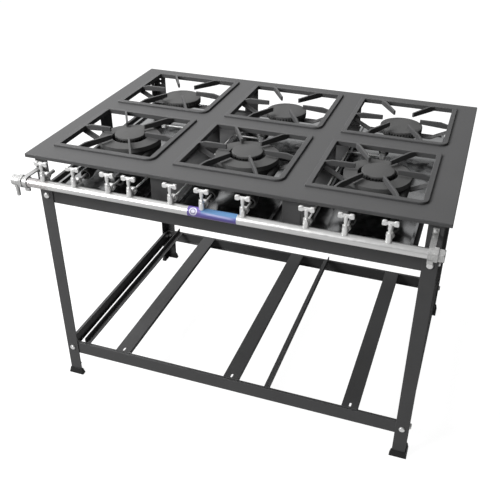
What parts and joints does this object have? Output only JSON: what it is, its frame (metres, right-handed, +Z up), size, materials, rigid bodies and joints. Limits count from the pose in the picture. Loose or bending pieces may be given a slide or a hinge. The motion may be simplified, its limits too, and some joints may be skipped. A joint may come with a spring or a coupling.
{
  "type": "industrial gas stove",
  "caption": "Open-frame industrial gas stove: angle-iron stand with a bottom rack, flat hob plate with cast grates and burners, drip trays and a gas rail with taps along the front.",
  "frame": {"origin": "bottom centre of the box, on the floor under the stove", "axes": "+X to the user's right along the gas rail, +Y to the back, +Z up"},
  "size_m": [1.135, 0.8446, 0.8032],
  "materials": {
    "stand_paint": "satin",
    "plate_paint": "satin",
    "grate_iron": "satin paint",
    "burner_iron": "matt paint",
    "galvanised": "galvanised",
    "rail_steel": "bright",
    "fitting_zinc": "zinc",
    "foot_plastic": "matt"
  },
  "bodies": {
    "stand": {"leg_front_left": "stand_paint", "leg_front_right": "stand_paint", "leg_back_left": "stand_paint", "leg_back_right": "stand_paint", "upper_front_rail": "stand_paint", "upper_back_rail": "stand_paint", "upper_side_rails": "stand_paint", "lower_front_rail": "stand_paint", "lower_back_rail": "stand_paint", "lower_side_rails": "stand_paint", "plate_posts": "stand_paint", "side_posts": "stand_paint", "tray_bearers": "stand_paint", "shelf_slat_left": "stand_paint", "shelf_slat_middle": "stand_paint", "shelf_slat_right": "stand_paint", "oven_runners": "stand_paint", "burner_hangers": "stand_paint", "hob_plate": "plate_paint", "front_burner_left": "burner_iron", "front_burner_middle": "burner_iron", "front_burner_right": "burner_iron", "rear_burner_left": "burner_iron", "rear_burner_middle": "burner_iron", "rear_burner_right": "burner_iron", "inner_burner_caps": "burner_iron", "ring_burner_caps": "burner_iron", "rear_burner_caps": "burner_iron", "gas_rail": "rail_steel", "rear_feed_pipes": "rail_steel", "gas_inlet_fitting": "fitting_zinc", "rail_end_cap": "fitting_zinc", "rail_lock_nuts": "fitting_zinc", "rail_brackets": "fitting_zinc", "tap_bodies": "fitting_zinc", "frame_bolts": "fitting_zinc", "frame_nuts": "fitting_zinc", "injectors": "fitting_zinc", "oven_hose_tail": "fitting_zinc", "feet": "foot_plastic"},
    "grate_front_left": {"grate_front_left": "grate_iron"},
    "grate_front_middle": {"grate_front_middle": "grate_iron"},
    "grate_front_right": {"grate_front_right": "grate_iron"},
    "grate_rear_left": {"grate_rear_left": "grate_iron"},
    "grate_rear_middle": {"grate_rear_middle": "grate_iron"},
    "grate_rear_right": {"grate_rear_right": "grate_iron"},
    "drip_tray_left": {"drip_tray_left": "galvanised"},
    "drip_tray_middle": {"drip_tray_middle": "galvanised"},
    "drip_tray_right": {"drip_tray_right": "galvanised"},
    "tap_handle_01": {"tap_handle_01": "fitting_zinc"},
    "tap_handle_02": {"tap_handle_02": "fitting_zinc"},
    "tap_handle_03": {"tap_handle_03": "fitting_zinc"},
    "tap_handle_04": {"tap_handle_04": "fitting_zinc"},
    "tap_handle_05": {"tap_handle_05": "fitting_zinc"},
    "tap_handle_06": {"tap_handle_06": "fitting_zinc"},
    "tap_handle_07": {"tap_handle_07": "fitting_zinc"},
    "tap_handle_08": {"tap_handle_08": "fitting_zinc"},
    "tap_handle_09": {"tap_handle_09": "fitting_zinc"},
    "tap_handle_10": {"tap_handle_10": "fitting_zinc"}
  },
  "joints": [
    {"name": "grate_front_left_lift", "type": "slide", "parent": "stand", "child": "grate_front_left", "axis": [0, 0, 1], "range_m": [0, 0.12]},
    {"name": "grate_front_middle_lift", "type": "slide", "parent": "stand", "child": "grate_front_middle", "axis": [0, 0, 1], "range_m": [0, 0.12]},
    {"name": "grate_front_right_lift", "type": "slide", "parent": "stand", "child": "grate_front_right", "axis": [0, 0, 1], "range_m": [0, 0.12]},
    {"name": "grate_rear_left_lift", "type": "slide", "parent": "stand", "child": "grate_rear_left", "axis": [0, 0, 1], "range_m": [0, 0.12]},
    {"name": "grate_rear_middle_lift", "type": "slide", "parent": "stand", "child": "grate_rear_middle", "axis": [0, 0, 1], "range_m": [0, 0.12]},
    {"name": "grate_rear_right_lift", "type": "slide", "parent": "stand", "child": "grate_rear_right", "axis": [0, 0, 1], "range_m": [0, 0.12]},
    {"name": "drip_tray_left_slide", "type": "slide", "parent": "stand", "child": "drip_tray_left", "axis": [0, -1, 0], "range_m": [0, 0.6]},
    {"name": "drip_tray_middle_slide", "type": "slide", "parent": "stand", "child": "drip_tray_middle", "axis": [0, -1, 0], "range_m": [0, 0.6]},
    {"name": "drip_tray_right_slide", "type": "slide", "parent": "stand", "child": "drip_tray_right", "axis": [0, -1, 0], "range_m": [0, 0.6]},
    {"name": "tap_01_turn", "type": "hinge", "parent": "stand", "child": "tap_handle_01", "pos_m": [-0.4715, -0.40525, 0.755], "axis": [0, 0, 1], "range_deg": [0, 90]},
    {"name": "tap_02_turn", "type": "hinge", "parent": "stand", "child": "tap_handle_02", "pos_m": [-0.3785, -0.40525, 0.755], "axis": [0, 0, 1], "range_deg": [0, 90]},
    {"name": "tap_03_turn", "type": "hinge", "parent": "stand", "child": "tap_handle_03", "pos_m": [-0.2795, -0.40525, 0.755], "axis": [0, 0, 1], "range_deg": [0, 90]},
    {"name": "tap_04_turn", "type": "hinge", "parent": "stand", "child": "tap_handle_04", "pos_m": [-0.2185, -0.40525, 0.755], "axis": [0, 0, 1], "range_deg": [0, 90]},
    {"name": "tap_05_turn", "type": "hinge", "parent": "stand", "child": "tap_handle_05", "pos_m": [-0.1055, -0.40525, 0.755], "axis": [0, 0, 1], "range_deg": [0, 90]},
    {"name": "tap_06_turn", "type": "hinge", "parent": "stand", "child": "tap_handle_06", "pos_m": [-0.0215, -0.40525, 0.755], "axis": [0, 0, 1], "range_deg": [0, 90]},
    {"name": "tap_07_turn", "type": "hinge", "parent": "stand", "child": "tap_handle_07", "pos_m": [0.0845, -0.40525, 0.755], "axis": [0, 0, 1], "range_deg": [0, 90]},
    {"name": "tap_08_turn", "type": "hinge", "parent": "stand", "child": "tap_handle_08", "pos_m": [0.2415, -0.40525, 0.755], "axis": [0, 0, 1], "range_deg": [0, 90]},
    {"name": "tap_09_turn", "type": "hinge", "parent": "stand", "child": "tap_handle_09", "pos_m": [0.3345, -0.40525, 0.755], "axis": [0, 0, 1], "range_deg": [0, 90]},
    {"name": "tap_10_turn", "type": "hinge", "parent": "stand", "child": "tap_handle_10", "pos_m": [0.4355, -0.40525, 0.755], "axis": [0, 0, 1], "range_deg": [0, 90]}
  ]
}
